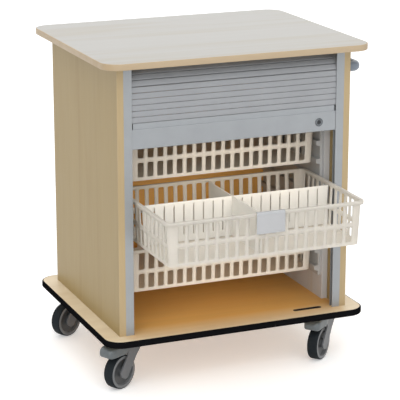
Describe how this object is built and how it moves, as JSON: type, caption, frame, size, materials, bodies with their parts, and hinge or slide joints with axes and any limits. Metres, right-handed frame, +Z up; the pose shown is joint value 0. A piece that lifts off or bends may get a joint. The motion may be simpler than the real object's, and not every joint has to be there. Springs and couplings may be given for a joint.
{
  "type": "mobile tray storage unit",
  "caption": "Mobile storage cabinet with a roller shutter over pull-out perforated baskets, a side push handle and swivelling braked castors.",
  "frame": {"origin": "on the floor under the middle of the part's bounding box, the pulled-out basket included", "axes": "+Z up, the shutter and baskets face -Y, +X to the right"},
  "size_m": [0.8092, 0.8276, 0.942],
  "materials": {
    "worktop_laminate": "pale wood-grain laminate, satin",
    "maple_edging": "maple edge band, satin lacquer",
    "maple_board": "maple-faced board, satin lacquer",
    "inner_board": "maple-faced board seen inside, satin",
    "runner_board": "cream-faced board, satin",
    "bumper_black": "black moulded edge, matt",
    "aluminium_profile": "natural anodised extrusion, satin",
    "track_plastic": "grey moulded guide, matt",
    "slat_grey": "light grey slats, satin",
    "rack_grey": "grey moulded plastic, matt",
    "basket_ivory": "ivory moulded plastic, satin",
    "divider_ivory": "ivory sheet plastic, satin",
    "label_white": "clear-white label frame, gloss",
    "label_card": "blank paper card, matt",
    "handle_grey": "grey moulded grip, satin",
    "lock_steel": "nickel-plated lock, satin",
    "strike_black": "black painted steel, matt",
    "castor_steel": "zinc-plated steel, satin",
    "castor_grey": "grey moulded housing, satin",
    "wheel_grey": "dark grey soft tyre on a grey centre, matt"
  },
  "bodies": {
    "cabinet": {"worktop": "worktop_laminate", "worktop_edge_band": "maple_edging", "base_board": "maple_board", "bumper_edge": "bumper_black", "lock_strike": "strike_black", "left_side_panel": "maple_board", "right_side_panel": "maple_board", "back_panel": "maple_board", "inner_back_panel": "inner_board", "front_cross_rail": "inner_board", "rear_cross_rail": "inner_board", "left_post": "aluminium_profile", "right_post": "aluminium_profile", "left_shutter_track": "track_plastic", "right_shutter_track": "track_plastic", "stored_slats": "slat_grey", "left_runner_board": "runner_board", "right_runner_board": "runner_board", "left_ledge_rack": "rack_grey", "right_ledge_rack": "rack_grey", "side_handle": "handle_grey", "castor_stems": "castor_steel"},
    "shutter": {"bottom_bar": "aluminium_profile", "bar_glides": "track_plastic", "front_slats": "slat_grey"},
    "lock": {"lock_barrel": "lock_steel"},
    "top_drawer": {"top_basket": "basket_ivory"},
    "middle_drawer": {"middle_basket": "basket_ivory", "cross_divider": "divider_ivory", "long_divider": "divider_ivory", "label_holder": "label_white", "label_card": "label_card"},
    "lower_drawer": {"lower_basket": "basket_ivory"},
    "front_left_castor": {"front_left_castor_fork": "castor_grey"},
    "front_left_wheel": {"front_left_wheel": "wheel_grey"},
    "front_left_brake": {"front_left_brake_pedal": "castor_grey"},
    "front_right_castor": {"front_right_castor_fork": "castor_grey"},
    "front_right_wheel": {"front_right_wheel": "wheel_grey"},
    "front_right_brake": {"front_right_brake_pedal": "castor_grey"},
    "rear_left_castor": {"rear_left_castor_fork": "castor_grey"},
    "rear_left_wheel": {"rear_left_wheel": "wheel_grey"},
    "rear_right_castor": {"rear_right_castor_fork": "castor_grey"},
    "rear_right_wheel": {"rear_right_wheel": "wheel_grey"}
  },
  "joints": [
    {"name": "shutter_slide", "type": "slide", "parent": "cabinet", "child": "shutter", "axis": [0, 0, 1], "range_m": [-0.147, 0.088], "deforming": ["front_slats"]},
    {"name": "lock_turn", "type": "hinge", "parent": "shutter", "child": "lock", "pos_m": [0.26064, -0.187, 0.7195], "axis": [0, -1, 0], "range_deg": [0, 90]},
    {"name": "top_drawer_slide", "type": "slide", "parent": "cabinet", "child": "top_drawer", "axis": [0, -1, 0], "range_m": [0, 0.055]},
    {"name": "middle_drawer_slide", "type": "slide", "parent": "cabinet", "child": "middle_drawer", "axis": [0, -1, 0], "range_m": [-0.302, 0.03]},
    {"name": "lower_drawer_slide", "type": "slide", "parent": "cabinet", "child": "lower_drawer", "axis": [0, -1, 0], "range_m": [0, 0.332]},
    {"name": "front_left_swivel", "type": "hinge", "parent": "cabinet", "child": "front_left_castor", "pos_m": [-0.30336, -0.1462, 0.14], "axis": [0, 0, 1], "continuous": true},
    {"name": "front_left_roll", "type": "hinge", "parent": "front_left_castor", "child": "front_left_wheel", "pos_m": [-0.34221, -0.16686, 0.05], "axis": [0.4695, -0.8829, 0], "continuous": true},
    {"name": "front_left_brake_press", "type": "hinge", "parent": "front_left_castor", "child": "front_left_brake", "pos_m": [-0.33294, -0.16193, 0.1312], "axis": [0.4695, -0.8829, 0], "range_deg": [0, 8]},
    {"name": "front_right_swivel", "type": "hinge", "parent": "cabinet", "child": "front_right_castor", "pos_m": [0.31264, -0.1462, 0.14], "axis": [0, 0, 1], "continuous": true},
    {"name": "front_right_roll", "type": "hinge", "parent": "front_right_castor", "child": "front_right_wheel", "pos_m": [0.27894, -0.17448, 0.05], "axis": [0.6428, -0.766, 0], "continuous": true},
    {"name": "front_right_brake_press", "type": "hinge", "parent": "front_right_castor", "child": "front_right_brake", "pos_m": [0.28698, -0.16773, 0.1312], "axis": [0.6428, -0.766, 0], "range_deg": [0, 8]},
    {"name": "rear_left_swivel", "type": "hinge", "parent": "cabinet", "child": "rear_left_castor", "pos_m": [-0.30336, 0.3238, 0.14], "axis": [0, 0, 1], "continuous": true},
    {"name": "rear_left_roll", "type": "hinge", "parent": "rear_left_castor", "child": "rear_left_wheel", "pos_m": [-0.34256, 0.30382, 0.05], "axis": [0.454, -0.891, 0], "continuous": true},
    {"name": "rear_right_swivel", "type": "hinge", "parent": "cabinet", "child": "rear_right_castor", "pos_m": [0.31264, 0.3238, 0.14], "axis": [0, 0, 1], "continuous": true},
    {"name": "rear_right_roll", "type": "hinge", "parent": "rear_right_castor", "child": "rear_right_wheel", "pos_m": [0.27704, 0.29794, 0.05], "axis": [0.5878, -0.809, 0], "continuous": true}
  ]
}
